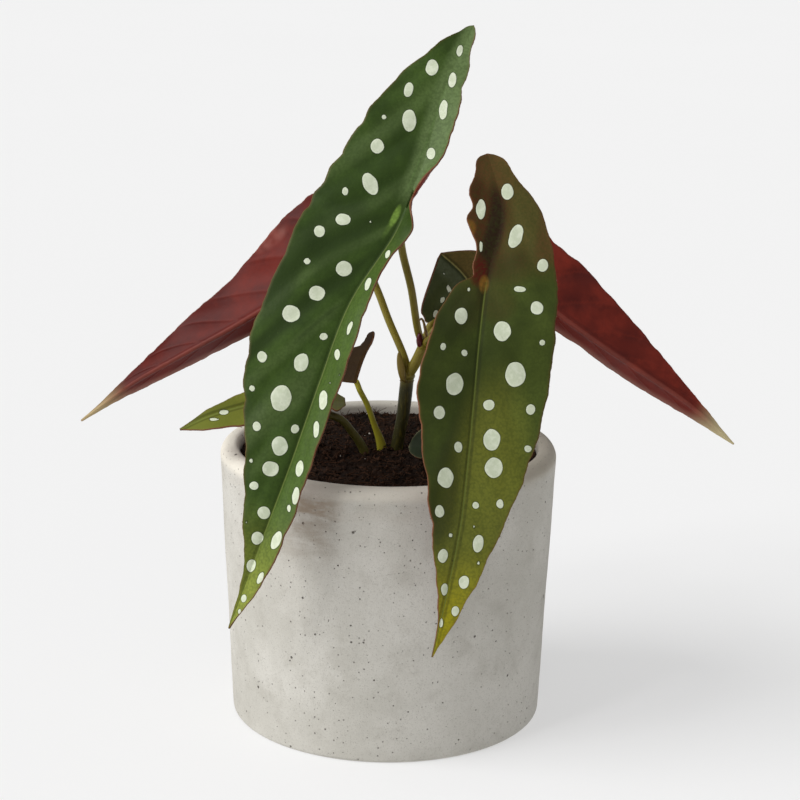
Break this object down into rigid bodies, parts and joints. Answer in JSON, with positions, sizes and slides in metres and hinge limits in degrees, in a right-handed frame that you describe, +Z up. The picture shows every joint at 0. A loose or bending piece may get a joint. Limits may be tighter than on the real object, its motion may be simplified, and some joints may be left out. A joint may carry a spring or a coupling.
{
  "type": "potted polka dot begonia",
  "caption": "Polka dot begonia with long spotted angel-wing leaves, red underneath, in a round light grey concrete pot filled with dark peat.",
  "frame": {"origin": "centre of the pot's underside, on the surface it stands on", "axes": "+Z up along the pot's axis, +Y away from the front view, +X to the right in it"},
  "size_m": [0.2731, 0.16, 0.2774],
  "materials": {
    "pot": "matte",
    "soil": "matte",
    "cane": "satin",
    "young_stalk": "satin",
    "low_stalk": "satin",
    "small_stalk": "satin",
    "leaf_front_left": "satin",
    "leaf_front_right": "satin",
    "leaf_back_left": "satin",
    "leaf_back_right": "satin",
    "leaf_middle": "satin",
    "leaf_low_left": "satin",
    "leaf_young": "satin",
    "leaf_small_right": "satin"
  },
  "bodies": {
    "root": {"pot": "pot", "soil": "soil", "cane": "cane", "young_stalk": "young_stalk", "low_stalk": "low_stalk", "small_stalk": "small_stalk", "leaf_front_left": "leaf_front_left", "leaf_front_right": "leaf_front_right", "leaf_back_left": "leaf_back_left", "leaf_back_right": "leaf_back_right", "leaf_middle": "leaf_middle", "leaf_low_left": "leaf_low_left", "leaf_young": "leaf_young", "leaf_small_right": "leaf_small_right"}
  },
  "joints": []
}
